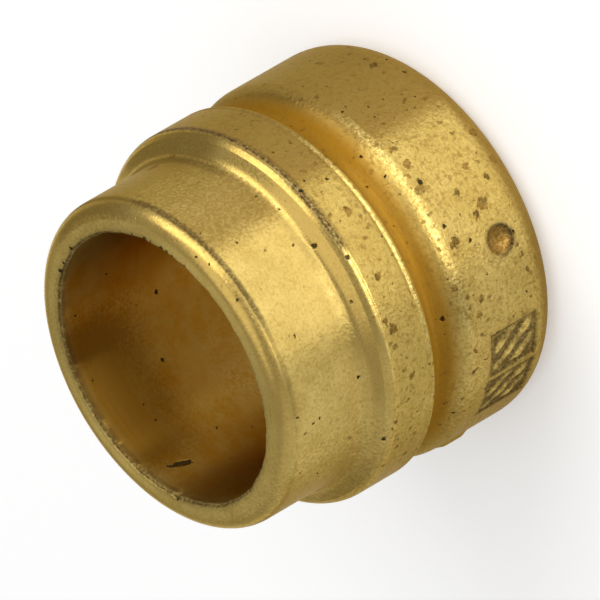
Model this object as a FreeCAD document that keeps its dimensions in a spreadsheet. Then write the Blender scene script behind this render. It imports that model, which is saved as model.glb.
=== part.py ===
# Compression olive for a 10 mm tube: a clamping ring turned in one piece from brass bar.
# Frame: +Z runs along the bore towards the nose. The origin is the centre of the rear face, on which the
# ring stands, and the punch mark on the rear ring faces -Y.
import FreeCAD, Part
import math
import os
import Sketcher

NODE = "compression_olive"

# Every size in millimetres or degrees: alias, value, meaning.
SIZES = [
    ("tube_diameter", 10.0, "outside diameter of the tube that passes through"),
    ("tube_clearance", 0.05, "radial clearance round the tube"),
    ("bore_edge_break", 0.1, "chamfer on both ends of the bore"),
    ("nose_wall", 1.12, "wall of the nose, which the 24 degree cone squeezes onto the tube"),
    ("nose_length", 3.58, "nose face to the foot of the shoulder"),
    ("nose_edge_radius", 0.66, "rounding of the nose face's outer edge"),
    ("shoulder_rise", 0.83, "height of the collar and rear ring above the nose"),
    ("shoulder_run", 0.62, "length of the shoulder's slope along the axis"),
    ("shoulder_cove", 0.7, "radius of the cove at the foot of the shoulder"),
    ("collar_width", 1.91, "shoulder's edge to the groove"),
    ("collar_edge_radius", 0.5, "rounding from the collar into the groove"),
    ("groove_depth", 0.65, "depth of the collapse groove's floor"),
    ("groove_wall_run", 0.3, "length of the groove's steep front wall along the axis"),
    ("groove_floor", 0.39, "length of the groove's floor along the axis"),
    ("groove_flank_run", 0.97, "length of the groove's sloping rear flank along the axis"),
    ("groove_root_radius", 0.8, "rounding between the groove's floor and its flank"),
    ("ring_width", 4.23, "groove to the rear face"),
    ("ring_edge_radius", 0.5, "rounding from the groove onto the rear ring"),
    ("tail_radius", 1.35, "radius of the rounded tail, which the nut presses on"),
    ("tail_drop", 0.66, "height that the tail loses by the rear face"),
    ("punch_height", 1.94, "punch mark's centre above the rear face"),
    ("punch_ball_radius", 0.9, "radius of the ball-ended punch"),
    ("punch_depth", 0.2, "depth of the punch mark"),
    ("stamp_angle", 32.5, "first stamped field's centre, round the axis from the punch mark"),
    ("stamp_sweep", 15.0, "width of a stamped field round the axis"),
    ("stamp_pitch", 16.5, "angle from the first stamped field to the second"),
    ("stamp_base", 1.2, "lower edge of the stamped fields above the rear face"),
    ("stamp_height", 2.1, "height of the stamped fields along the axis"),
    ("stamp_depth", 0.1, "depth of the stamped fields"),
    ("tool_overrun", 0.5, "how far the stamp's section stands out past the metal"),
]

# Radii and heights that follow from the sizes. Heights are above the rear face.
BORE_RADIUS = "sizes.tube_diameter / 2 + sizes.tube_clearance"
BORE_RIM = BORE_RADIUS + " + sizes.bore_edge_break"
NOSE_RADIUS = BORE_RADIUS + " + sizes.nose_wall"
BODY_RADIUS = NOSE_RADIUS + " + sizes.shoulder_rise"
GROOVE_RADIUS = BODY_RADIUS + " - sizes.groove_depth"
TAIL_RIM = BODY_RADIUS + " - sizes.tail_drop"
REAR_FACE = "0"
RING_EDGE = "sizes.ring_width"
FLANK_FOOT = RING_EDGE + " + sizes.groove_flank_run"
WALL_FOOT = FLANK_FOOT + " + sizes.groove_floor"
GROOVE_FRONT = WALL_FOOT + " + sizes.groove_wall_run"
COLLAR_EDGE = GROOVE_FRONT + " + sizes.collar_width"
SHOULDER_FOOT = COLLAR_EDGE + " + sizes.shoulder_run"
NOSE_FACE = SHOULDER_FOOT + " + sizes.nose_length"

SHARP = None  # a corner without rounding
START, END = range(1, 3)  # the two ends of a sketch line or arc, and START for a point
SKETCH_ORIGIN = (-1, START)
PUNCH_BEARING = 270.0  # direction of -Y, in degrees round from +X
STAMP_COUNT = 2

doc = FreeCAD.newDocument("CompressionOlive")


def make_sheet():
    """Writes the sizes to the spreadsheet, one row each."""
    table = doc.addObject("Spreadsheet::Sheet", "sizes")
    for row, (alias, value, meaning) in enumerate(SIZES, start=1):
        table.set(f"A{row}", alias)
        table.set(f"B{row}", str(value))
        table.set(f"C{row}", meaning)
        table.setAlias(f"B{row}", alias)
    doc.recompute()
    return table


sheet = make_sheet()
body = doc.addObject("PartDesign::Body", "Olive")
body.Label = NODE
origin = {feature.Role: feature for feature in body.Origin.OriginFeatures}


def number(expression):
    """Works out an expression on the sheet."""
    return float(sheet.evalExpression(expression))


def section_sketch(name):
    """Starts a sketch of a half section: its X is the radius and its Y the height."""
    sketch = body.newObject("Sketcher::SketchObject", name)
    sketch.AttachmentSupport = (origin["XZ_Plane"], [""])
    sketch.MapMode = "FlatFace"
    return sketch


def bind(sketch, kind, references, expression):
    """Adds a dimension to a sketch and ties it to an expression."""
    index = sketch.addConstraint(Sketcher.Constraint(kind, *references, number(expression)))
    sketch.setExpression(f"Constraints[{index}]", expression)


def pin(sketch, geometry, end, radius, height):
    """Fixes a point, or one end of a line, at a radius and height."""
    bind(sketch, "DistanceX", (*SKETCH_ORIGIN, geometry, end), radius)
    bind(sketch, "DistanceY", (*SKETCH_ORIGIN, geometry, end), height)


def add_arc(sketch, centre, first, second):
    """Draws an arc anticlockwise round a centre, from one point to another."""
    spokes = first - centre, second - centre
    angles = [math.atan2(spoke.y, spoke.x) for spoke in spokes]
    circle = Part.Circle(centre, FreeCAD.Vector(0, 0, 1), spokes[0].Length)
    return sketch.addGeometry(Part.ArcOfCircle(circle, *angles), False)


def rounding_points(before, corner, after, radius):
    """Gives where a rounding touches the line into a corner and the line out of it, and its centre."""
    back = (before - corner).normalize()
    ahead = (after - corner).normalize()
    half_angle = back.getAngle(ahead) / 2
    reach = radius / math.tan(half_angle)
    centre = corner + (back + ahead).normalize() * (radius / math.sin(half_angle))
    return corner + back * reach, corner + ahead * reach, centre


def round_corner(sketch, line_in, line_out, corner, touches, centre):
    """Joins two lines by an arc tangent to both. The corner itself stays as a pinned helper point."""
    radius, height, rounding = corner
    helper_place = FreeCAD.Vector(number(radius), number(height), 0)
    helper = sketch.addGeometry(Part.Point(helper_place), True)
    pin(sketch, helper, START, radius, height)
    for line in (line_in, line_out):
        sketch.addConstraint(Sketcher.Constraint("PointOnObject", helper, START, line))
    entry, leave = touches
    turns_left = (entry - centre).cross(leave - centre).z > 0
    if turns_left:
        arc = add_arc(sketch, centre, entry, leave)
        entry_end, leave_end = START, END
    else:
        arc = add_arc(sketch, centre, leave, entry)
        entry_end, leave_end = END, START
    sketch.addConstraint(Sketcher.Constraint("Tangent", line_in, END, arc, entry_end))
    sketch.addConstraint(Sketcher.Constraint("Tangent", arc, leave_end, line_out, START))
    bind(sketch, "Radius", (arc,), rounding)


def outline(sketch, corners):
    """Draws lines from corner to corner, with any rounding, and gives the first and last line.

    A corner is a radius, a height and a rounding, all expressions. The first and last are sharp.
    """
    places = [FreeCAD.Vector(number(radius), number(height), 0) for radius, height, _ in corners]
    touches = [(place, place) for place in places]
    centres = [None] * len(corners)
    for index, (_, _, rounding) in enumerate(corners):
        if rounding is not SHARP:
            neighbours = places[index - 1:index + 2]
            entry, leave, centres[index] = rounding_points(*neighbours, number(rounding))
            touches[index] = entry, leave
    lines = []
    for index in range(len(corners) - 1):
        line = Part.LineSegment(touches[index][1], touches[index + 1][0])
        lines.append(sketch.addGeometry(line, False))
    pin(sketch, lines[0], START, *corners[0][:2])
    for index, (line_in, line_out) in enumerate(zip(lines, lines[1:]), start=1):
        if corners[index][2] is SHARP:
            sketch.addConstraint(Sketcher.Constraint("Coincident", line_in, END, line_out, START))
            pin(sketch, line_out, START, *corners[index][:2])
        else:
            round_corner(sketch, line_in, line_out, corners[index], touches[index], centres[index])
    return lines[0], lines[-1]


def revolve(kind, name, sketch):
    """Turns a section sketch once round the axis."""
    feature = body.newObject(kind, name)
    feature.Profile = sketch
    feature.ReferenceAxis = (sketch, ["V_Axis"])
    sketch.Visibility = False
    doc.recompute()
    return feature


def turned_ring():
    """The whole turned form: bore, nose, coved shoulder, collar, groove, rear ring and rounded tail."""
    sketch = section_sketch("RingSection")
    tail_radius = number("sizes.tail_radius")
    tail_angle = math.acos(1 - number("sizes.tail_drop") / tail_radius)
    tail_top = str(tail_radius * math.sin(tail_angle))
    rear_line, land = outline(sketch, [
        (TAIL_RIM, REAR_FACE, SHARP),
        (BORE_RIM, REAR_FACE, SHARP),
        (BORE_RADIUS, REAR_FACE + " + sizes.bore_edge_break", SHARP),
        (BORE_RADIUS, NOSE_FACE + " - sizes.bore_edge_break", SHARP),
        (BORE_RIM, NOSE_FACE, SHARP),
        (NOSE_RADIUS, NOSE_FACE, "sizes.nose_edge_radius"),
        (NOSE_RADIUS, SHOULDER_FOOT, "sizes.shoulder_cove"),
        (BODY_RADIUS, COLLAR_EDGE, SHARP),
        (BODY_RADIUS, GROOVE_FRONT, "sizes.collar_edge_radius"),
        (GROOVE_RADIUS, WALL_FOOT, SHARP),
        (GROOVE_RADIUS, FLANK_FOOT, "sizes.groove_root_radius"),
        (BODY_RADIUS, RING_EDGE, "sizes.ring_edge_radius"),
        (BODY_RADIUS, tail_top, SHARP),
    ])
    land_foot = FreeCAD.Vector(number(BODY_RADIUS), float(tail_top), 0)
    tail_rim = FreeCAD.Vector(number(TAIL_RIM), number(REAR_FACE), 0)
    tail_centre = land_foot - FreeCAD.Vector(tail_radius, 0, 0)
    tail = add_arc(sketch, tail_centre, tail_rim, land_foot)
    sketch.addConstraint(Sketcher.Constraint("Vertical", land))
    sketch.addConstraint(Sketcher.Constraint("Tangent", land, END, tail, END))
    sketch.addConstraint(Sketcher.Constraint("Coincident", tail, START, rear_line, START))
    bind(sketch, "Radius", (tail,), "sizes.tail_radius")
    return revolve("PartDesign::Revolution", "TurnedRing", sketch)


def punch_mark():
    """The round dimple that a ball-ended punch leaves on the rear ring."""
    ball = body.newObject("PartDesign::SubtractiveSphere", "PunchMark")
    ball.AttachmentSupport = (origin["XZ_Plane"], [""])
    ball.MapMode = "FlatFace"
    ball.setExpression("Radius", "sizes.punch_ball_radius")
    ball.setExpression(".AttachmentOffset.Base.y", "sizes.punch_height")
    ball.setExpression(".AttachmentOffset.Base.z",
                       BODY_RADIUS + " - sizes.punch_depth + sizes.punch_ball_radius")
    doc.recompute()
    return ball


def stamped_fields():
    """Two bare shallow fields side by side on the rear ring, sunk parallel to its surface."""
    sketch = section_sketch("StampSection")
    floor = BODY_RADIUS + " - sizes.stamp_depth"
    outside = BODY_RADIUS + " + sizes.tool_overrun"
    base = "sizes.stamp_base"
    top = base + " + sizes.stamp_height"
    first, last = outline(sketch, [
        (floor, base, SHARP),
        (outside, base, SHARP),
        (outside, top, SHARP),
        (floor, top, SHARP),
        (floor, base, SHARP),
    ])
    sketch.addConstraint(Sketcher.Constraint("Coincident", last, END, first, START))
    turned = FreeCAD.Rotation(FreeCAD.Vector(0, 1, 0), PUNCH_BEARING)
    sketch.AttachmentOffset = FreeCAD.Placement(FreeCAD.Vector(), turned)
    sketch.setExpression(".AttachmentOffset.Rotation.Angle", f"{PUNCH_BEARING} - sizes.stamp_angle")
    field = revolve("PartDesign::Groove", "StampedField", sketch)
    field.Midplane = True
    field.setExpression("Angle", "sizes.stamp_sweep")
    doc.recompute()
    row = body.newObject("PartDesign::PolarPattern", "StampedRow")
    row.Originals = [field]
    row.Axis = (origin["Z_Axis"], [""])
    row.Mode = "Spacing"
    row.Reversed = True
    row.Occurrences = STAMP_COUNT
    row.setExpression("Offset", "sizes.stamp_pitch")
    body.Tip = row
    doc.recompute()
    return row


def check_cut(before, after):
    """Stops if a cutting feature has taken nothing off."""
    if after.Shape.Volume >= before.Shape.Volume:
        raise RuntimeError(f"{after.Name} cuts nothing")


def export():
    """Checks every object of the document, then writes the ring."""
    for item in doc.Objects:
        if "Invalid" in item.State or "Error" in item.State:
            raise RuntimeError(f"{item.Name} is {item.State}")
    if body.Shape.isNull() or not body.Shape.isValid() or len(body.Shape.Solids) != 1:
        raise RuntimeError(f"{NODE} is not one valid solid")
    os.makedirs("parts", exist_ok=True)
    body.Shape.exportStep(f"parts/{NODE}.step")


ring = turned_ring()
punched = punch_mark()
check_cut(ring, punched)
stamped = stamped_fields()
check_cut(punched, stamped)
export()
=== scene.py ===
import math

import bpy
import numpy as np
from mathutils import Matrix, Vector


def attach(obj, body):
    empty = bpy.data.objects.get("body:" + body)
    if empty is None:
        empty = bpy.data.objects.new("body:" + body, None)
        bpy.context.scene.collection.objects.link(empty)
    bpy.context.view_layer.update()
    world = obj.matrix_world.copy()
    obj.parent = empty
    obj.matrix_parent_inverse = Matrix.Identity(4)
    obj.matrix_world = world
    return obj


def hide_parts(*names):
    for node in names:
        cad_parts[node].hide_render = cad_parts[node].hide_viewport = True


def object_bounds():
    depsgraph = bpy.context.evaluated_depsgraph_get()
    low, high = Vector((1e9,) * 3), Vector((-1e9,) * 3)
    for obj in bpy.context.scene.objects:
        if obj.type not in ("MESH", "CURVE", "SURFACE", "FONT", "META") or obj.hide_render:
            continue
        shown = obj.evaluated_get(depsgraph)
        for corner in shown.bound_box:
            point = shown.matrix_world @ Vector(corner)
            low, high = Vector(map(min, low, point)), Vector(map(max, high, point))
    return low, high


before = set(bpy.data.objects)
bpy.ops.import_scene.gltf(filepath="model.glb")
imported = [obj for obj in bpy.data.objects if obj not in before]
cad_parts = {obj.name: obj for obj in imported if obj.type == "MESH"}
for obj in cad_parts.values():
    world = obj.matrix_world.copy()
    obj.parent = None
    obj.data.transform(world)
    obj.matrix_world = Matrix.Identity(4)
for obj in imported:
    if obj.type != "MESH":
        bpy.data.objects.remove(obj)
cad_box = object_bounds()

MM = 0.001

# The part's overall size, from the frame.
BODY_R = round(cad_box[1][0] / MM, 3)
LENGTH = round(cad_box[1][2] / MM, 3)

# The turned section, in millimetres. Heights are above the rear face.
BORE_R = 5.05
BORE_BREAK = 0.1
NOSE_R = 6.17
GROOVE_R = 6.35
TAIL_RIM_R = 6.34
TAIL_TOP = 1.16
TAIL_ROUND = 1.35
RING_TOP = 4.23
FLANK_TOP = 5.20
WALL_FOOT = 5.59
COLLAR_FOOT = 5.89
COLLAR_TOP = 7.80
COLLAR_BREAK_R = 6.80
COLLAR_BREAK_TOP = 8.03
NOSE_FOOT = 8.42
NOSE_EDGE = 0.66
COVE = 0.7
RING_EDGE = 1.0
COLLAR_EDGE = 0.14
ROOT = 0.8
COLLAR_FRONT_EDGE = 0.4
CRISP = 0.06
COLLAR_LINE = 6.10
LINE_DEPTH = 0.035
LINE_HALF = 0.1

# Radii that part the wall of the bore, the outside and the land of the rear ring.
BORE_WALL_R = BORE_R + 0.02
OUTSIDE_R = BORE_R + 0.3
LAND_R = BODY_R - 0.3

# Columns of the mesh in degrees, closer across the stamped marks, and the least angle of a sharp edge.
FINE_START = 194.0
FINE_END = 286.0
FINE_STEP = 0.4
PLAIN_STEP = 1.0
SHARP_ANGLE = 42

# The camera, in degrees and millimetres. Bearings run round +Z from +X.
AZIMUTH = 16.3
ELEVATION = 33.33
ROLL = 30.15
DISTANCE = 600.0
LENS = 1061.0
SENSOR = 36.0
AIM = 6.0
AIM_RIGHT = 0.357
AIM_UP = -0.167
FRONT = 270.0 + AZIMUTH

# Marks on the rear ring and on the rim of the bore.
PUNCH_BEARING = 270.0
PUNCH_HEIGHT = 1.94
PUNCH_BALL = 0.9
PUNCH_DEPTH = 0.2
PUNCH_RIM = 0.53
FIELD_BEARINGS = (237.5, 221.0)
FIELD_SWEEP = 15.0
FIELD_FOOT = 1.1
FIELD_TOP = 3.25
FIELD_DEPTH = 0.1
RIDGE_PITCH = 0.78
RIDGE_SLANT = 0.8
RIDGE_RISE = 0.1
BURR_BEARING = FRONT - 88.0
BURR_HEIGHT = 3.4
BURR_RISE = 0.1
BURR_HALF = 0.16
RIM_BURR = 0.022

# Angles from the front, in degrees, over which marks and wear fade out towards the back.
BACK_FADE = (110, 150)

# Convex edges that wear bright and carry a painted highlight line round the front, as radius, height and
# reach of the wear.
EDGES = (
    (BODY_R, COLLAR_TOP, 0.16),
    (BODY_R, COLLAR_LINE - 0.05, 0.12),
    (BODY_R - 0.05, RING_TOP - 0.05, 0.22),
    (BORE_R + 0.06, LENGTH - 0.04, 0.12),
)

# Colours of the brass, of its reflections seen at a slant, of stains, dirt and pits, and of painted shade,
# reflections and highlights.
BRASS_BRIGHT = (0.66, 0.485, 0.152, 1)
BRASS_BURNISHED = (0.56, 0.38, 0.100, 1)
BRASS_DULL = (0.50, 0.35, 0.088, 1)
# Tarnished brass with painted shade, darkening the sides, the back and the tail of the ring.
BRASS_TARNISH_AND_SHADE = (0.34, 0.215, 0.050, 1)
BRASS_DARK = (0.30, 0.185, 0.040, 1)
# Painted shade and reflection: the groove's darker orange brass stands in for its shade and its own orange
# reflections.
BRASS_GROOVE_SHADE = (0.31, 0.152, 0.010, 1)
# The bore's wall is a warmer, more orange brass than the outside, a painted reflection of the light
# bouncing inside it.
BRASS_BORE = (0.60, 0.37, 0.060, 1)
BRASS_BORE_WARM = (0.56, 0.29, 0.018, 1)
BRASS_BORE_DARK = (0.30, 0.155, 0.014, 1)
BRASS_PUNCH = (0.26, 0.135, 0.025, 1)
# Pale brass for wear, and for painted highlights on the front edges and on the bore's wall.
BRASS_WEAR_AND_HIGHLIGHT = (0.74, 0.58, 0.20, 1)
SPECULAR_TINT = (0.86, 0.76, 0.52, 1)
STAIN = (0.25, 0.130, 0.022, 1)
STAIN_DARK = (0.110, 0.057, 0.011, 1)
# Dirt, also painted as shade in the stamped fields and as a dark reflection along the nose's rounding.
DIRT_AND_SHADE = (0.060, 0.031, 0.010, 1)
PIT = (0.020, 0.013, 0.006, 1)

# Height of the fine relief in metres, and turn of the satin along the turning lines.
RELIEF = 0.000022
SATIN_TURN = 0.25

# Kinds of surface that the mesh carries as shares for the material.
ZONES = ("groove", "bore", "edge", "soft", "grime", "polish", "tarnish_and_shade", "punch", "dirt")

# Black pits and brown stains, as angle from the front in degrees, height and size in millimetres.
PITS = (
    (9, 8.3, 0.11), (13, 8.8, 0.05), (1, 7.8, 0.09), (9, 3.7, 0.12), (41, 0.9, 0.08),
    (-30, 4.9, 0.09), (-58, 8.0, 0.09), (-66, 4.5, 0.06), (-12, 10.6, 0.06), (23, 10.5, 0.05),
    (27, 11.9, 0.06), (22, 11.8, 0.05), (7, 11.8, 0.07), (25, 4.7, 0.05), (-16, 1.3, 0.06),
    (-5, 3.8, 0.09), (-12, 3.1, 0.07), (23, 6.6, 0.06), (-11, 8.2, 0.06), (-23, 2.9, 0.05),
    (24, 7.7, 0.07), (-35, 8.6, 0.07),
)
STAINS = (
    (12, 6.8, 0.24), (9, 6.5, 0.14), (-8, 7.1, 0.26), (-4, 6.7, 0.12), (-13, 7.3, 0.13),
    (-18, 7.9, 0.13), (-20, 7.5, 0.20), (-23, 7.3, 0.24), (21, 3.8, 0.22), (15, 3.7, 0.26),
    (12, 4.0, 0.18), (7, 3.9, 0.24), (-5, 2.0, 0.34), (-7, 2.4, 0.22), (1, 1.3, 0.22),
    (1, 2.7, 0.20), (6, 1.8, 0.22), (-10, 3.7, 0.26), (-29, 3.4, 0.22), (-33, 3.6, 0.22),
    (-28, 1.2, 0.18), (-33, 7.1, 0.12), (-39, 6.9, 0.16), (-52, 7.7, 0.16), (-43, 4.0, 0.15),
    (-50, 4.0, 0.13), (78, 9.0, 0.34), (74, 8.4, 0.20), (49, 1.4, 0.22), (32, 1.9, 0.15),
    (14, 0.7, 0.30), (4, 0.6, 0.30), (16, 9.9, 0.12), (-22, 4.3, 0.14), (-46, 7.2, 0.13),
    (-58, 6.9, 0.14), (-63, 7.4, 0.12), (-70, 6.7, 0.13), (-28, 7.4, 0.14), (-57, 9.0, 0.13),
    (-54, 8.8, 0.12), (-44, 11.2, 0.11), (-60, 11.3, 0.11), (-41, 2.9, 0.14), (-60, 3.3, 0.15),
    (-48, 3.5, 0.12),
)

# Burr specks on the front rim of the bore, as angle and size.
RIM_SPECKS = (
    (117, 0.09), (112, 0.06), (102, 0.09), (93, 0.05), (59, 0.06), (52, 0.10), (49, 0.07), (43, 0.11),
    (40, 0.07), (37, 0.06), (30, 0.06), (-128, 0.06),
)

# Dark marks on the wall of the bore, as angle, height and size: a short scratch and a few specks.
BORE_MARKS = (
    (-144, 11.05, 0.07), (-143.5, 10.94, 0.08), (-143, 10.82, 0.10), (-142.5, 10.70, 0.12),
    (-142, 10.57, 0.14), (-141.5, 10.45, 0.13), (-141, 10.33, 0.10), (177, 8.5, 0.08),
    (152, 7.7, 0.09), (143, 11.3, 0.06),
)

# Painted highlights on the wall of the bore, pale patches that stand in for reflections, as angle, height,
# reach round and along, and share.
BORE_GLINTS = (
    (-163, 6.4, 1.1, 0.9, 0.85),
    (148, 9.0, 0.35, 0.9, 0.6),
    (150, 6.6, 0.4, 0.6, 0.6),
    (-178, 5.8, 1.2, 1.2, 0.35),
)

# Light levels and the floor.
WORLD = 0.45
FLOOR_LIFT = 0.28
FLOOR_HALF = 1.5
FLOOR_COLOUR = (0.86, 0.86, 0.86, 1)
WHITE = (1, 1, 1, 1)

# Lamps, as name, angle from the front, elevation, distance, width, height and radiance.
LAMPS = (
    ("front_softbox", 7, 8, 250, 380, 80, 5.3),
    ("top_softbox", 64, 36, 250, 240, 140, 2.4),
    ("high_panel", 45, 79, 250, 210, 190, 0.78),
    ("side_panel", -95, 28, 300, 420, 240, 0.24),
    ("back_panel", 180, 37, 300, 300, 100, 0.18),
)


# Camera

def camera_axes():
    a = math.radians(AZIMUTH)
    e = math.radians(ELEVATION)
    roll = math.radians(ROLL)
    back = Vector((math.sin(a) * math.cos(e), -math.cos(a) * math.cos(e), math.sin(e)))
    side = Vector((math.cos(a), math.sin(a), 0.0))
    rise = Vector((-math.sin(a) * math.sin(e), math.cos(a) * math.sin(e), math.cos(e)))
    right = -math.cos(roll) * rise - math.sin(roll) * side
    up = -math.sin(roll) * rise + math.cos(roll) * side
    return right, up, back


def make_camera():
    right, up, back = camera_axes()
    data = bpy.data.cameras.new("camera")
    data.lens = LENS
    data.sensor_width = SENSOR
    camera = bpy.data.objects.new("camera", data)
    place = Vector((0, 0, AIM)) + DISTANCE * back + AIM_RIGHT * right + AIM_UP * up
    turn = Matrix((right, up, back)).transposed().to_4x4()
    camera.matrix_world = Matrix.Translation(place * MM) @ turn
    bpy.context.scene.collection.objects.link(camera)
    bpy.context.scene.camera = camera


# Ring mesh

def section_corners():
    """Corners of the section, as radius, height, rounding and the row step of the run that follows."""
    return [
        (BORE_R, BORE_BREAK, 0, 0.1),
        (BORE_R + BORE_BREAK, 0, 0, 0.3),
        (TAIL_RIM_R, 0, 0, 0.1),
    ] + tail_points() + [
        (BODY_R, TAIL_TOP, 0, 0.05),
        (BODY_R, FIELD_TOP + 0.05, 0, 0.1),
        (BODY_R, RING_TOP, RING_EDGE, 0.14),
        (GROOVE_R, FLANK_TOP, ROOT, 0.14),
        (GROOVE_R, WALL_FOOT, 0, 0.12),
        (BODY_R, COLLAR_FOOT, COLLAR_EDGE, 0.12),
        (BODY_R, COLLAR_LINE - LINE_HALF, 0, 0.025),
        (BODY_R - LINE_DEPTH, COLLAR_LINE, 0, 0.025),
        (BODY_R, COLLAR_LINE + LINE_HALF, 0, 0.16),
        (BODY_R, COLLAR_TOP, COLLAR_FRONT_EDGE, 0.06),
        (COLLAR_BREAK_R, COLLAR_BREAK_TOP, CRISP, 0.13),
        (NOSE_R, NOSE_FOOT, COVE, 0.2),
        (NOSE_R, LENGTH, NOSE_EDGE, 0.2),
        (BORE_R + BORE_BREAK, LENGTH, 0, 0.06),
        (BORE_R, LENGTH - BORE_BREAK, 0, 0.25),
        (BORE_R, LENGTH - 0.6, 0, 1.0),
    ]


def tail_points(count=12):
    """The rounded tail, from the rear face up to the ring's land."""
    centre = BODY_R - TAIL_ROUND
    start = math.acos((TAIL_RIM_R - centre) / TAIL_ROUND)
    points = []
    for i in range(1, count):
        turn = start * (1 - i / count)
        radius = centre + TAIL_ROUND * math.cos(turn)
        points.append((radius, TAIL_TOP - TAIL_ROUND * math.sin(turn), 0, 0.2))
    return points


def rounded(before, corner, after, radius, parts):
    """Points along the tangent arc at a corner."""
    to_before = (before - corner).normalized()
    to_after = (after - corner).normalized()
    half = to_before.angle(to_after) / 2
    reach = radius / math.tan(half)
    middle = corner + (to_before + to_after).normalized() * (radius / math.sin(half))
    first = corner + to_before * reach - middle
    last = corner + to_after * reach - middle
    sweep = first.angle_signed(last)
    points = []
    for i in range(parts + 1):
        turn = -sweep * i / parts
        x = first.x * math.cos(turn) - first.y * math.sin(turn)
        y = first.x * math.sin(turn) + first.y * math.cos(turn)
        points.append(middle + Vector((x, y)))
    return points


def section_rows():
    """The closed section as an array of radius and height."""
    corners = section_corners()
    count = len(corners)
    places = [Vector(c[:2]) for c in corners]
    runs = []
    for i, (_, _, radius, _) in enumerate(corners):
        if radius:
            parts = 4 if radius == CRISP else 9
            runs.append(rounded(places[i - 1], places[i], places[(i + 1) % count], radius, parts))
        else:
            runs.append([places[i]])
    rows = []
    for i, run in enumerate(runs):
        rows.extend(run)
        start = run[-1]
        end = runs[(i + 1) % count][0]
        parts = max(1, round((end - start).length / corners[i][3]))
        rows.extend(start.lerp(end, k / parts) for k in range(1, parts))
    return np.array([tuple(p) for p in rows])


def column_bearings():
    """Bearings of the mesh columns, once round."""
    fine = np.arange(FINE_START, FINE_END, FINE_STEP)
    plain = np.arange(FINE_END, FINE_START + 360.0, PLAIN_STEP)
    return np.concatenate([fine, plain])


def ring_mesh(name):
    rows = section_rows()
    bearings = column_bearings()
    columns = len(bearings)
    radius = np.repeat(rows[:, :1], columns, axis=1)
    height = np.repeat(rows[:, 1:], columns, axis=1)
    bearing = np.repeat(bearings[None, :], len(rows), axis=0)
    zones = zone_values(radius, height, bearing)
    radius = press_marks(radius, height, bearing)
    turn = np.radians(bearing)
    points = np.stack([radius * np.cos(turn), radius * np.sin(turn), height], axis=-1) * MM
    mesh = bpy.data.meshes.new(name)
    mesh.from_pydata(points.reshape(-1, 3).tolist(), [], ring_quads(len(rows), columns))
    mesh.shade_smooth()
    mesh.set_sharp_from_angle(angle=math.radians(SHARP_ANGLE))
    for zone in ZONES:
        layer = mesh.attributes.new(zone, "FLOAT", "POINT")
        layer.data.foreach_set("value", zones[zone].ravel().astype(np.float32))
    return mesh


def ring_quads(rows, columns):
    """Quads between neighbouring rows and columns, closed both ways round."""
    row, column = np.meshgrid(np.arange(rows), np.arange(columns), indexing="ij")
    next_row = (row + 1) % rows
    next_column = (column + 1) % columns
    corners = ((row, column), (row, next_column), (next_row, next_column), (next_row, column))
    quads = np.stack([r * columns + c for r, c in corners], axis=-1)
    return quads.reshape(-1, 4).tolist()


def smooth(low, high, value):
    """Nought below the low limit, one above the high one, and an even curve between them."""
    t = np.clip((value - low) / (high - low), 0.0, 1.0)
    return t * t * (3.0 - 2.0 * t)


def fade(low, high, value):
    """One below the low limit and nought above the high one."""
    return 1.0 - smooth(low, high, value)


def band(start, end, value):
    """One between a start and an end, each given as two limits, and nought outside them."""
    return smooth(*start, value) * fade(*end, value)


def bell(distance, reach):
    """One at no distance, and about a third at the reach."""
    return np.exp(-(distance / reach) ** 2)


def turned(angle, start):
    """The angle from a start, between -180 and 180 degrees."""
    return (angle - start + 180.0) % 360.0 - 180.0


def on_land(radius, height):
    """True on the outside of the rear ring, where the marks are."""
    return (radius > LAND_R) & (height < RING_TOP)


def press_marks(radius, height, bearing):
    """The punch mark, the stamped fields and the burr on the rear ring, and the bore's uneven rim."""
    pressed = np.minimum(radius, punch_floor(height, bearing))
    for centre in FIELD_BEARINGS:
        pressed = pressed - field_depth(height, bearing, centre)
    pressed = pressed + burr_rise(height, bearing)
    return np.where(on_land(radius, height), pressed, radius + rim_burr(radius, height, bearing))


def punch_floor(height, bearing):
    """Radius of the ball that made the punch mark, or a large radius clear of it."""
    turn = np.radians(bearing - PUNCH_BEARING)
    reach = BODY_R + PUNCH_BALL - PUNCH_DEPTH
    along = reach * np.cos(turn)
    inside = along ** 2 - reach ** 2 - (height - PUNCH_HEIGHT) ** 2 + PUNCH_BALL ** 2
    floor = along - np.sqrt(np.maximum(inside, 0.0))
    return np.where((inside > 0) & (np.abs(turn) < 0.5), floor, 99.0)


def field_place(height, bearing, centre):
    """Distances round and along from the middle of a stamped field."""
    return BODY_R * np.radians(bearing - centre), height - (FIELD_TOP + FIELD_FOOT) / 2


def field_inset(height, bearing, centre):
    """Distance inside the edge of a stamped field, below nought outside it."""
    across, along = field_place(height, bearing, centre)
    half_width = BODY_R * math.radians(FIELD_SWEEP) / 2
    half_height = (FIELD_TOP - FIELD_FOOT) / 2
    return np.minimum(half_width - np.abs(across), half_height - np.abs(along))


def field_ridges(height, bearing, centre):
    """One on the slanted ridges of a stamped field, less where they are worn, and nought between them."""
    across, along = field_place(height, bearing, centre)
    ends = smooth(0.12, 0.26, field_inset(height, bearing, centre))
    ridge = smooth(-0.3, 0.5, np.cos(2 * math.pi * (across + RIDGE_SLANT * along) / RIDGE_PITCH))
    worn = 0.7 + 0.3 * np.sin(4.3 * along - 5.1 * across)
    return ends * ridge * worn


def field_depth(height, bearing, centre):
    """Depth of a stamped field with its ridges, struck deeper at the foot."""
    along = field_place(height, bearing, centre)[1]
    strike = 0.65 + 0.35 * fade(-0.5, 0.3, along)
    sunk = FIELD_DEPTH * smooth(0.0, 0.09, field_inset(height, bearing, centre))
    return strike * (sunk - RIDGE_RISE * field_ridges(height, bearing, centre))


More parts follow.
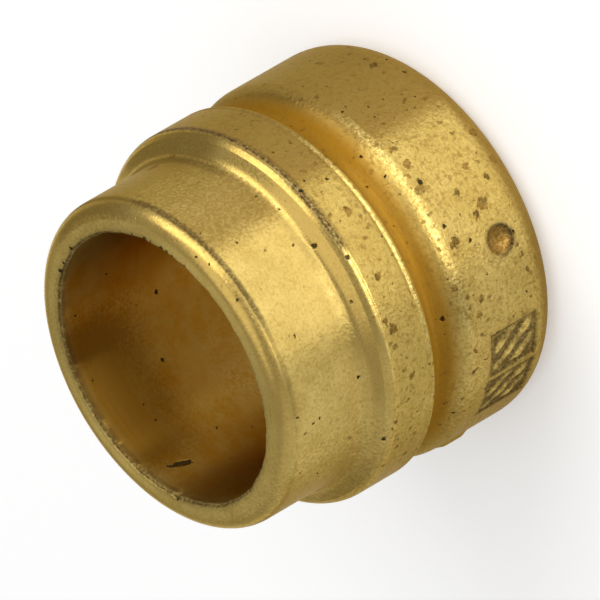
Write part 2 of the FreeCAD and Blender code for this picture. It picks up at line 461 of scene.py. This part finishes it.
def burr_rise(height, bearing):
    """The small raised burr on the rear ring."""
    across = BODY_R * np.radians(bearing - BURR_BEARING)
    return BURR_RISE * bell(across, BURR_HALF) * fade(0.35, 0.75, np.abs(height - BURR_HEIGHT))


def rim_burr(radius, height, bearing):
    """A small uneven burr along the front rim of the bore."""
    turn = np.radians(bearing)
    wave = np.sin(23 * turn) * np.sin(7 * turn + 1.0) + 0.6 * np.sin(61 * turn) * np.sin(11 * turn)
    rim = (radius < BORE_R + BORE_BREAK + 0.01) & (height > LENGTH - BORE_BREAK - 0.01)
    return np.where(rim, RIM_BURR * wave, 0.0)


# Shares of each kind of surface

def zone_values(radius, height, bearing):
    """Shares of each kind of surface at each point, for the material."""
    angle = turned(bearing, FRONT)
    outside = radius > OUTSIDE_R
    land = on_land(radius, height)
    in_groove = outside & (height > FLANK_TOP - 1.1) & (height < COLLAR_FOOT + 0.2)
    in_bore = radius < BORE_WALL_R
    ridges = [field_ridges(height, bearing, centre) for centre in FIELD_BEARINGS]
    raised = np.maximum(*ridges) * land
    worn = np.maximum(wear_and_highlight_edges(radius, height, angle), raised)
    grime = np.where(height < FLANK_TOP, 0.5, np.where(height < COLLAR_TOP, 1.0, 0.12))
    marked = np.where(land, mark_darkening(height, bearing), 0.0)
    return {
        "groove": np.where(in_groove, smooth(0.06, 0.48, BODY_R - radius), 0.0),
        "bore": np.where(in_bore, smooth(0.0, 0.5, LENGTH - BORE_BREAK - height), 0.0),
        # Wear on edges and ridges, with painted highlight lines round the front and painted highlights on
        # the bore's wall.
        "edge": np.maximum(worn, bore_glint_values(radius, height, angle)),
        "soft": soft_values(radius, height, angle),
        "grime": grime * outside,
        "polish": np.maximum(polish_values(radius, height, angle), 0.5 * raised),
        "tarnish_and_shade": tarnish_and_shade_values(radius, height, angle),
        "punch": np.where(land, fade(0.44, 0.60, from_punch(height, bearing)), 0.0),
        # Dirt, with painted shade in the stamped fields and a painted dark reflection along the nose's
        # rounding.
        "dirt": np.maximum(marked, edge_darkening(radius, height, angle)),
    }


def lower_side(angle):
    """One on the side that lies lowest in the photo, fading to nought on either hand."""
    return band((20, 50), BACK_FADE, -angle)


def wear_and_highlight_edges(radius, height, angle):
    """Share of the bright wear and painted highlight along the listed edges, round the front."""
    share = np.zeros_like(radius)
    for r, h, reach in EDGES:
        share = np.maximum(share, fade(0.3 * reach, reach, np.hypot(radius - r, height - h)))
    return share * fade(32, 44, np.abs(angle))


def bore_glint_values(radius, height, angle):
    """Share of the painted highlights: pale patches on the wall of the bore that stand in for reflections.
    """
    share = np.zeros_like(radius)
    for place, along, reach_round, reach_along, most in BORE_GLINTS:
        across = BORE_R * np.radians(turned(angle, place))
        spot = bell(across, reach_round) * bell(height - along, reach_along)
        share = np.maximum(share, most * spot)
    return np.where(radius < BORE_WALL_R, share, 0.0)


def polish_values(radius, height, angle):
    """One on the burnished surfaces, nought elsewhere: the nose's rounding, the shoulder and two edges."""
    rim = NOSE_R - NOSE_EDGE
    nose = smooth(LENGTH - 0.42, LENGTH - 0.28, height) * smooth(rim - 0.03, rim + 0.13, radius)
    nose = nose * (1.0 - 0.5 * lower_side(angle))
    shoulder = smooth(COLLAR_TOP - 0.18, COLLAR_TOP - 0.08, height)
    shoulder = shoulder * fade(NOSE_FOOT - 0.12, NOSE_FOOT + 0.06, height)
    shoulder = shoulder * (1.0 - 0.75 * lower_side(angle))
    line = fade(0.07, 0.12, np.abs(height - COLLAR_LINE))
    ring = band((-0.38, -0.25), (0.19, 0.32), height - RING_TOP)
    ring = ring * (0.5 - 0.35 * smooth(-5, 6, angle)) * fade(6, 27, -angle)
    edges = np.maximum(0.28 * line, ring) * fade(10, 42, np.abs(angle))
    return np.maximum(nose, np.maximum(shoulder, edges) * (radius > OUTSIDE_R))


def soft_values(radius, height, angle):
    """One on the rougher feet of the cove and the nose's rounding and low on the ring's edge."""
    cove = band((-0.06, 0.04), (0.24, 0.38), height - NOSE_FOOT) * band((-6, 12), BACK_FADE, angle)
    nose = band((-0.68, -0.56), (-0.40, -0.28), height - LENGTH) * (1.0 - 0.8 * lower_side(angle))
    ring = band((-0.43, -0.28), (0.22, 0.37), height - RING_TOP) * band((10, 22), (24, 40), -angle)
    return np.maximum(np.maximum(cove, nose), 0.85 * ring) * (radius > OUTSIDE_R)


def tarnish_and_shade_values(radius, height, angle):
    """Tarnish with painted shade: the upper side from a ragged line, the lower side by degrees, evenly
    behind, on the tail and high on the bore's far wall.
    """
    on_nose = height > NOSE_FOOT
    far = fade(95, 130, angle)
    upper = smooth(18, 32, angle + 3.0 * on_nose) * far
    upper = upper * np.where(on_nose, 0.62 + 0.38 * smooth(55, 75, angle), 1.0)
    lower = 0.8 * band((35, 80), (95, 150), -angle)
    behind = 0.4 * smooth(95, 150, np.abs(angle))
    tail = 0.9 * fade(0.45, 1.25, height)
    bright = polish_values(radius, height, angle) * (1.0 - 0.75 * smooth(46, 62, angle) * far)
    bright = bright * (1.0 - 0.75 * smooth(100, 140, np.abs(angle)))
    face = radius < NOSE_R - NOSE_EDGE + 0.1
    outer = np.maximum(np.maximum(upper, lower), np.maximum(behind, tail))
    outer = outer * np.where(face, 0.25, 1.0 - bright)
    # Painted shade: the far wall of the bore is darker high up.
    far_wall = fade(22, 46, 180.0 - np.abs(angle))
    return np.where(radius < BORE_WALL_R, far_wall * smooth(7.5, 10.5, height), outer)


def from_punch(height, bearing):
    """Distance from the middle of the punch mark."""
    return np.hypot(BODY_R * np.radians(bearing - PUNCH_BEARING), height - PUNCH_HEIGHT)


def mark_darkening(height, bearing):
    """A dark ring round the punch mark, darker towards its foot, and painted shade along the edges of the
    stamped fields and between their ridges.
    """
    dirt = bell(from_punch(height, bearing) - PUNCH_RIM, 0.10)
    dirt = dirt * np.clip(0.68 - 0.55 * (height - PUNCH_HEIGHT), 0.0, 1.0)
    for centre in FIELD_BEARINGS:
        inset = field_inset(height, bearing, centre)
        gap = smooth(0.05, 0.2, inset) * (1.0 - field_ridges(height, bearing, centre))
        dirt = np.maximum(dirt, 0.9 * bell(inset - 0.06, 0.08))
        dirt = np.maximum(dirt, 0.8 * gap)
    return dirt


def edge_darkening(radius, height, angle):
    """A dark line on the collar's front edge, a painted dark reflection at the foot of the nose's rounding,
    and dirt on the rim of the bore.
    """
    collar = bell(np.hypot(radius - BODY_R, height - COLLAR_TOP + 0.08), 0.10)
    corner = bell(np.hypot(radius - BODY_R + 0.04, height - COLLAR_TOP - 0.03), 0.10)
    collar = np.maximum(collar, corner * fade(24, 36, angle)) * band((0, 6), BACK_FADE, angle)
    nose = bell(height - LENGTH + 0.48, 0.10) * (radius > NOSE_R - 0.4)
    nose = nose * band((-12, 2), (54, 64), angle)
    rim = bell(np.hypot(radius - BORE_R - 0.04, height - LENGTH + 0.06), 0.08)
    return np.maximum(collar, np.maximum(nose, rim))


# Materials

class Nodes:
    """Short calls that add nodes to one material and join them."""

    def __init__(self, name):
        self.material = bpy.data.materials.new(name)
        self.material.use_nodes = True
        self.tree = self.material.node_tree
        self.shader = self.tree.nodes["Principled BSDF"]

    def add(self, kind, *values, **settings):
        node = self.tree.nodes.new(kind)
        for key, value in settings.items():
            setattr(node, key, value)
        for socket, value in zip(node.inputs, values):
            self.join(value, socket)
        return node

    def join(self, value, socket):
        if isinstance(value, bpy.types.NodeSocket):
            self.tree.links.new(value, socket)
        elif value is not None:
            socket.default_value = value

    def math(self, operation, *values):
        return self.add("ShaderNodeMath", *values, operation=operation).outputs[0]

    def vector(self, operation, *values):
        return self.add("ShaderNodeVectorMath", *values, operation=operation)

    def noise(self, place, scale, detail=2.0, roughness=0.5):
        node = self.add("ShaderNodeTexNoise", place)
        node.inputs["Scale"].default_value = scale
        node.inputs["Detail"].default_value = detail
        node.inputs["Roughness"].default_value = roughness
        return node.outputs["Fac"]

    def ramp(self, value, low, high, first=0.0, last=1.0):
        limits = (value, low, high, first, last)
        return self.add("ShaderNodeMapRange", *limits, interpolation_type="SMOOTHSTEP").outputs[0]

    def mix(self, share, first, second):
        node = self.add("ShaderNodeMix", data_type="RGBA")
        self.join(share, node.inputs[0])
        self.join(first, node.inputs[6])
        self.join(second, node.inputs[7])
        return node.outputs[2]

    def blend(self, share, first, second):
        return self.add("ShaderNodeMix", share, None, first, second).outputs[0]

    def attribute(self, name):
        return self.add("ShaderNodeAttribute", attribute_name=name).outputs["Fac"]

    def set(self, **sockets):
        for name, value in sockets.items():
            self.join(value, self.shader.inputs[name.replace("_", " ")])


def ring_point(angle, height, radius):
    """A point on the ring, in millimetres, by its angle from the front."""
    turn = math.radians(FRONT + angle)
    return (radius * math.cos(turn), radius * math.sin(turn), height)


def outer_section():
    """Heights and radii along the outside of the section, in order of height."""
    rows = section_rows()
    outer = rows[rows[:, 0] > BORE_R + 0.2]
    order = np.argsort(outer[:, 1], kind="stable")
    return outer[order, 1], outer[order, 0]


def spots(n, place, centres, core):
    """One in the core of each spot, given as place and size, falling to nought at its rim."""
    share = None
    for centre, size in centres:
        distance = n.vector("DISTANCE", place, centre).outputs["Value"]
        spot = n.ramp(distance, core * size, 1.2 * size, 1.0, 0.0)
        share = spot if share is None else n.math("MAXIMUM", share, spot)
    return share


def outside_spots(marks):
    """Places and sizes of marks on the outside."""
    heights, radii = outer_section()
    centres = []
    for angle, height, size in marks:
        radius = float(np.interp(height, heights, radii))
        centres.append((ring_point(angle, height, radius), size))
    return centres


def bore_spots(marks):
    """Places and sizes of marks on the wall of the bore."""
    return [(ring_point(angle, height, BORE_R), size) for angle, height, size in marks]


def rim_spots(marks):
    """Places and sizes of marks on the front rim of the bore."""
    return [(ring_point(angle, LENGTH - 0.02, BORE_R + 0.12), size) for angle, size in marks]


def millimetres(n):
    """The place on the object, in millimetres."""
    place = n.vector("SCALE", n.add("ShaderNodeTexCoord").outputs["Object"])
    place.inputs["Scale"].default_value = 1.0 / MM
    return place.outputs[0]


def turning_lines(n, place):
    """Fine lines round the axis, on the faces and cones too."""
    parts = n.add("ShaderNodeSeparateXYZ", place).outputs
    flat = n.add("ShaderNodeCombineXYZ", parts[0], parts[1], 0.0).outputs[0]
    radius = n.vector("LENGTH", flat).outputs["Value"]
    along = n.math("ADD", parts[2], radius)
    slow = n.vector("MULTIPLY", flat, (0.16, 0.16, 0.0)).outputs[0]
    line = n.add("ShaderNodeCombineXYZ", 0.0, 0.0, n.math("MULTIPLY", along, 7.0)).outputs[0]
    return n.noise(n.vector("ADD", slow, line).outputs[0], 1.0, 3.0, 0.65)


def shaken(n, place, scale, reach):
    """The place, moved a little by noise, so that spots and stains get ragged rims."""
    node = n.add("ShaderNodeTexNoise", place)
    node.inputs["Scale"].default_value = scale
    node.inputs["Detail"].default_value = 2.0
    moved = n.vector("SUBTRACT", node.outputs["Color"], (0.5, 0.5, 0.5)).outputs[0]
    return n.vector("MULTIPLY_ADD", moved, (reach, reach, reach), place).outputs[0]


def speckle(n, place, scale, size, share):
    """Small dots in some cells of an uneven grid."""
    cells = n.add("ShaderNodeTexVoronoi", place)
    cells.inputs["Scale"].default_value = scale
    pick = n.add("ShaderNodeSeparateColor", cells.outputs["Color"]).outputs[0]
    chosen = n.math("GREATER_THAN", pick, 1.0 - share)
    dot = n.ramp(cells.outputs["Distance"], 0.6 * size, size, 1.0, 0.0)
    return n.math("MULTIPLY", dot, chosen)


def stains(n, place, grime, blotch):
    """Ragged brown stains: the listed ones, and smaller ones where the ring is grimy."""
    ragged = shaken(n, shaken(n, place, 3.2, 0.4), 14.0, 0.10)
    torn = n.math("SUBTRACT", n.noise(place, 7.0, 3.0, 0.7), 0.5)
    listed = n.math("MULTIPLY_ADD", torn, 1.8, spots(n, ragged, outside_spots(STAINS), 0.1))
    listed = n.ramp(listed, 0.36, 0.58)
    cloud = n.ramp(n.noise(ragged, 4.0, 4.0, 0.65), 0.55, 0.72)
    cloud = n.math("MULTIPLY", cloud, n.ramp(blotch, 0.40, 0.60))
    dots = speckle(n, ragged, 2.6, 0.30, 0.30)
    small = n.math("MULTIPLY", n.math("MAXIMUM", cloud, dots), 0.8)
    small = n.math("MULTIPLY", n.ramp(grime, 0.0, 0.5), small)
    broken = n.ramp(n.noise(place, 16.0, 2.0, 0.6), 0.3, 0.62, 0.65, 1.0)
    deep = n.ramp(n.noise(place, 1.4, 1.0), 0.38, 0.62, 0.8, 1.0)
    return n.math("MULTIPLY", n.math("MAXIMUM", listed, small), n.math("MULTIPLY", broken, deep))


def pits(n, place, grime):
    """Small black pits: the listed ones, a few anywhere, and fine ones where the ring is grimy."""
    ragged = shaken(n, place, 10.0, 0.16)
    centres = outside_spots(PITS) + rim_spots(RIM_SPECKS) + bore_spots(BORE_MARKS)
    listed = spots(n, ragged, centres, 0.6)
    few = speckle(n, shaken(n, place, 9.0, 0.2), 1.9, 0.12, 0.14)
    fine = n.ramp(grime, 0.0, 0.5, 0.1, 0.7)
    fine = n.math("MULTIPLY", fine, speckle(n, ragged, 3.4, 0.17, 0.22))
    return n.math("MAXIMUM", listed, n.math("MAXIMUM", few, fine))


def fine_textures(n, place, grime):
    """The textures that the colour, the roughness and the relief of the brass share."""
    blotch = n.noise(place, 0.8, 5.0, 0.62)
    return {
        "blotch": blotch,
        "lines": turning_lines(n, place),
        "grain": n.noise(place, 9.0, 3.0, 0.62),
        "swell": n.noise(place, 3.5, 2.0, 0.5),
        "stain": stains(n, place, grime, blotch),
        "pit": pits(n, place, grime),
    }


def brass():
    """Turned brass: its own colour with painted shade, reflections and highlights in places, the dirt over
    it, a satin along the turning lines and a fine relief.
    """
    n = Nodes("brass")
    place = millimetres(n)
    zone = {name: n.attribute(name) for name in ZONES}
    fine = fine_textures(n, place, zone["grime"])
    colour = dirty_colour(n, place, brass_colour(n, zone, fine), zone, fine)
    stained = n.ramp(fine["stain"], 0.0, 1.0, 1.0, 0.8)
    metal = n.math("MULTIPLY", stained, n.ramp(zone["dirt"], 0.3, 0.9, 1.0, 0.5))
    plain = n.math("MAXIMUM", n.math("MULTIPLY", zone["polish"], 0.7), zone["groove"])
    satin = n.math("SUBTRACT", 1.0, plain)
    tangent = n.add("ShaderNodeTangent", direction_type="RADIAL", axis="Z").outputs[0]
    n.set(Base_Color=colour, Metallic=metal, Roughness=brass_roughness(n, zone, fine))
    n.set(Normal=brass_relief(n, zone, fine), Tangent=tangent)
    n.set(Anisotropic=satin, Anisotropic_Rotation=SATIN_TURN)
    n.set(Specular_IOR_Level=0.2, Specular_Tint=SPECULAR_TINT)
    return n.material


def brass_colour(n, zone, fine):
    """The metal's colour: bright or dull, tarnished with painted shade, orange in the groove and bore as
    painted shade and reflection, pale where worn or where a highlight is painted.
    """
    grain = fine["grain"]
    worked = n.math("MULTIPLY", zone["grime"], 0.22)
    worked = n.math("ADD", n.math("MULTIPLY", fine["blotch"], 0.7), worked)
    dull = n.ramp(n.math("MULTIPLY_ADD", grain, 0.5, worked), 0.41, 0.87)
    colour = n.mix(dull, BRASS_BRIGHT, BRASS_DULL)
    # Tarnish with painted shade: darker on the upper and lower sides, behind, on the tail and inside the
    # bore.
    uneven = n.math("MULTIPLY", n.math("SUBTRACT", grain, 0.5), 0.9)
    ragged = n.math("ADD", zone["tarnish_and_shade"], uneven)
    colour = n.mix(n.ramp(ragged, 0.1, 0.9), colour, BRASS_TARNISH_AND_SHADE)
    fleck = n.ramp(grain, 0.48, 0.75, 0.0, 0.4)
    fleck = n.math("MULTIPLY", fleck, n.ramp(zone["grime"], 0.0, 0.5, 0.3, 1.0))
    colour = n.mix(fleck, colour, BRASS_DARK)
    clean = n.math("MULTIPLY", zone["polish"], n.ramp(zone["tarnish_and_shade"], 0.0, 0.6, 0.85, 0.0))
    colour = n.mix(clean, colour, BRASS_BURNISHED)
    # Painted shade and reflection: the groove is painted a darker orange brass for its shade and its own
    # reflections.
    deep = n.math("MULTIPLY", zone["groove"], n.ramp(fine["lines"], 0.35, 0.68, 1.0, 0.82))
    colour = n.mix(deep, colour, BRASS_GROOVE_SHADE)
    # Painted reflection: the bore's wall is a warmer, orange brass for the light it bounces inside.
    inside = n.math("MULTIPLY", zone["bore"], n.ramp(fine["lines"], 0.3, 0.7, 1.0, 0.72))
    colour = n.mix(inside, colour, bore_colour(n, fine["blotch"], ragged))
    punched = n.math("MULTIPLY", zone["punch"], n.ramp(grain, 0.35, 0.6, 0.6, 1.0))
    colour = n.mix(punched, colour, BRASS_PUNCH)
    # Wear and painted highlight: pale brass on worn edges and ridges, painted highlight lines on the front
    # edges, and painted highlights in the bore.
    worn = n.math("MULTIPLY", zone["edge"], n.ramp(grain, 0.35, 0.6, 0.7, 0.05))
    return n.mix(worn, colour, BRASS_WEAR_AND_HIGHLIGHT)


def bore_colour(n, blotch, ragged):
    """The wall of the bore, a warmer brass as painted reflection: warm in blotches, and dark where it is
    tarnished and painted with shade.
    """
    colour = n.mix(n.ramp(blotch, 0.42, 0.62), BRASS_BORE, BRASS_BORE_WARM)
    return n.mix(n.ramp(ragged, 0.0, 1.0), colour, BRASS_BORE_DARK)


def dirty_colour(n, place, colour, zone, fine):
    """The metal's colour with haze, stains, dirt with painted shade and a painted dark reflection, and pits
    over it.
    """
    haze = n.ramp(n.noise(place, 5.5, 4.0, 0.70), 0.51, 0.66, 0.0, 0.5)
    haze = n.math("MULTIPLY", haze, n.ramp(zone["grime"], 0.1, 0.5))
    colour = n.mix(haze, colour, STAIN)
    brown = n.mix(n.ramp(fine["swell"], 0.44, 0.60), STAIN, STAIN_DARK)
    colour = n.mix(n.math("MULTIPLY", fine["stain"], 0.95), colour, brown)
    # Dirt, painted shade in the stamped fields and a painted dark reflection along the nose's rounding.
    dirt_and_shade_share = n.math("MULTIPLY", zone["dirt"], n.ramp(fine["grain"], 0.3, 0.6, 0.55, 1.0))
    colour = n.mix(dirt_and_shade_share, colour, DIRT_AND_SHADE)
    return n.mix(n.math("MULTIPLY", fine["pit"], 0.92), colour, PIT)


def brass_roughness(n, zone, fine):
    """Rougher in the groove, on dirt and painted shade and at the feet of the curves, and smoother where it
    is burnished.
    """
    worked = n.math("ADD", fine["grain"], n.math("MULTIPLY", fine["lines"], 0.5))
    rough = n.ramp(worked, 0.45, 1.05, 0.29, 0.37)
    rough = n.blend(zone["soft"], rough, 0.48)
    rough = n.blend(zone["polish"], rough, n.ramp(fine["grain"], 0.35, 0.62, 0.20, 0.32))
    rough = n.blend(zone["bore"], rough, 0.30)
    rough = n.blend(zone["groove"], rough, 0.60)
    marks = n.math("MAXIMUM", fine["stain"], fine["pit"])
    rough = n.math("ADD", rough, n.math("MULTIPLY", marks, 0.15))
    return n.blend(n.ramp(zone["dirt"], 0.3, 0.9), rough, 0.6)


def brass_relief(n, zone, fine):
    """Relief of the turning lines, the grain and the pits, flatter in the groove and bore and on polish."""
    height = n.math("ADD", n.math("MULTIPLY", fine["lines"], 0.2), fine["grain"])
    height = n.math("ADD", height, fine["swell"])
    hollow = n.math("MAXIMUM", zone["groove"], zone["bore"])
    height = n.math("MULTIPLY", height, n.ramp(hollow, 0.0, 0.5, 1.0, 0.25))
    height = n.math("MULTIPLY", height, n.ramp(zone["polish"], 0.0, 1.0, 1.0, 0.35))
    height = n.math("MULTIPLY", height, n.ramp(zone["grime"], 0.1, 0.5, 0.55, 1.0))
    height = n.math("SUBTRACT", height, n.math("MULTIPLY", fine["pit"], 2.0))
    bump = n.add("ShaderNodeBump")
    bump.inputs["Strength"].default_value = 1.0
    bump.inputs["Distance"].default_value = RELIEF
    n.join(height, bump.inputs["Height"])
    return bump.outputs[0]


def pale_floor():
    """A matt pale floor, lifted towards white where it is seen, directly or in a reflection."""
    n = Nodes("floor")
    path = n.add("ShaderNodeLightPath").outputs
    seen = n.math("MAXIMUM", path["Is Glossy Ray"], path["Is Transmission Ray"])
    seen = n.math("MAXIMUM", path["Is Camera Ray"], seen)
    n.set(Base_Color=FLOOR_COLOUR, Roughness=1.0, Specular_IOR_Level=0.0)
    n.set(Emission_Color=WHITE, Emission_Strength=n.math("MULTIPLY", seen, FLOOR_LIFT))
    return n.material


# Studio

def softbox(name, angle, elevation, distance, width, height, radiance):
    """A soft lamp that faces the ring. Its radiance is the level at which it shows in a mirror."""
    data = bpy.data.lights.new(name, "AREA")
    data.shape = "RECTANGLE"
    data.size = width * MM
    data.size_y = height * MM
    data.energy = radiance * math.pi * width * height * MM * MM
    lamp = bpy.data.objects.new(name, data)
    b = math.radians(FRONT + angle)
    e = math.radians(elevation)
    way = Vector((math.cos(b) * math.cos(e), math.sin(b) * math.cos(e), math.sin(e)))
    lamp.location = (way * distance + Vector((0, 0, AIM))) * MM
    lamp.rotation_euler = way.to_track_quat("Z", "Y").to_euler()
    lamp.visible_camera = False
    bpy.context.scene.collection.objects.link(lamp)


def make_studio():
    scene = bpy.context.scene
    scene.view_settings.view_transform = "Standard"
    world = bpy.data.worlds.new("studio")
    scene.world = world
    world.use_nodes = True
    background = world.node_tree.nodes["Background"]
    background.inputs["Color"].default_value = WHITE
    background.inputs["Strength"].default_value = WORLD
    for lamp in LAMPS:
        softbox(*lamp)


def make_floor():
    side = FLOOR_HALF
    corners = [(-side, -side, 0), (side, -side, 0), (side, side, 0), (-side, side, 0)]
    mesh = bpy.data.meshes.new("floor")
    mesh.from_pydata(corners, [], [(0, 1, 2, 3)])
    floor = bpy.data.objects.new("floor", mesh)
    mesh.materials.append(pale_floor())
    bpy.context.scene.collection.objects.link(floor)


def make_ring():
    piece = bpy.data.objects.new("olive_ring", ring_mesh("olive_ring"))
    piece.data.materials.append(brass())
    bpy.context.scene.collection.objects.link(piece)
    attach(piece, "root")
    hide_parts("compression_olive")


make_camera()
make_studio()
make_floor()
make_ring()
